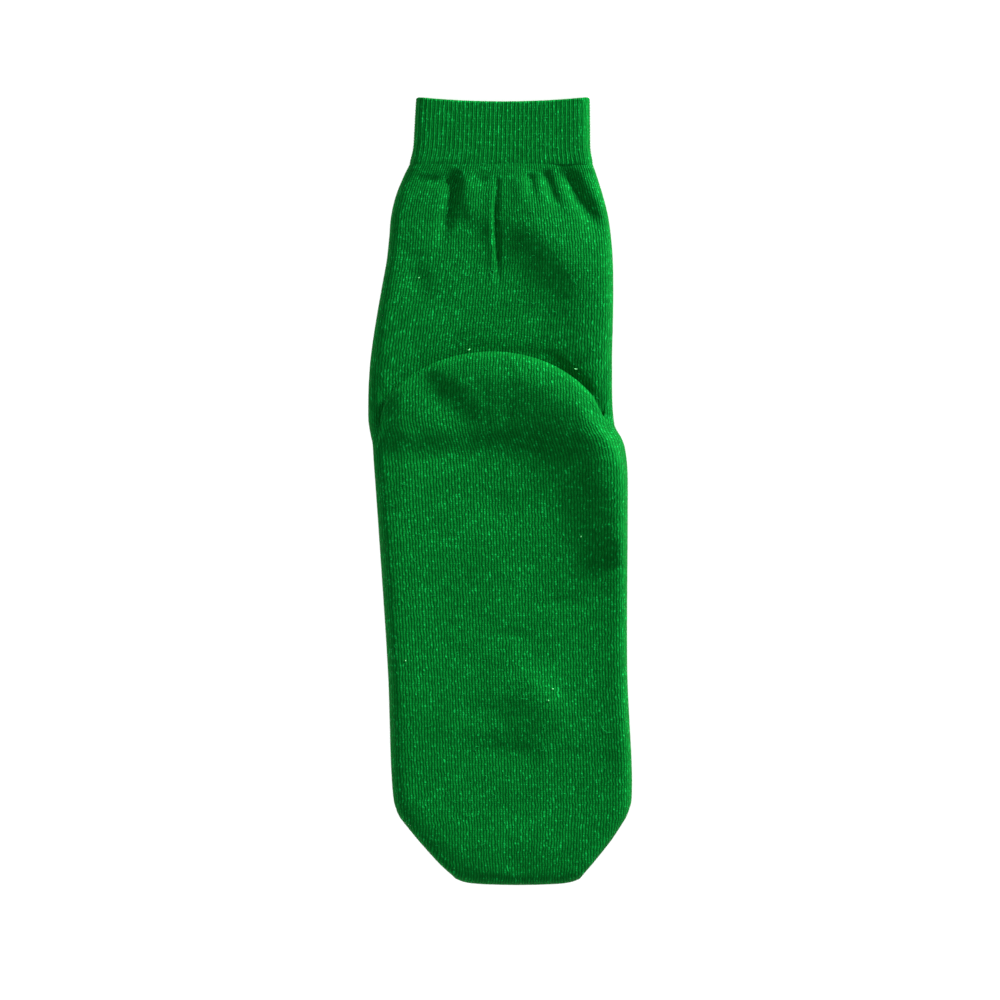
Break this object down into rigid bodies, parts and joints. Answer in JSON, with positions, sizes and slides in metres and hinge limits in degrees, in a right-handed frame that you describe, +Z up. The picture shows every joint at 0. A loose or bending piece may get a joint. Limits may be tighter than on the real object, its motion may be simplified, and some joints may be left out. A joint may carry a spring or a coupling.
{
  "type": "crew sock",
  "caption": "Empty knitted crew sock lying slack on its instep, sole up: ribbed cuff, leg, folded-up heel pouch, foot and tapered toe.",
  "frame": {"origin": "on the floor, at the middle of the sock's bounding box", "axes": "+Y towards the open cuff, -Y towards the toe, +Z up through the turned-up sole, +X to the right as seen from above with the cuff away from the viewer"},
  "size_m": [0.111, 0.3308, 0.0146],
  "materials": {
    "green_knit": "matte fine-gauge knit",
    "seam_thread": "matte thread"
  },
  "bodies": {
    "root": {"knit_body": "green_knit", "toe_seam": "seam_thread"}
  },
  "joints": []
}
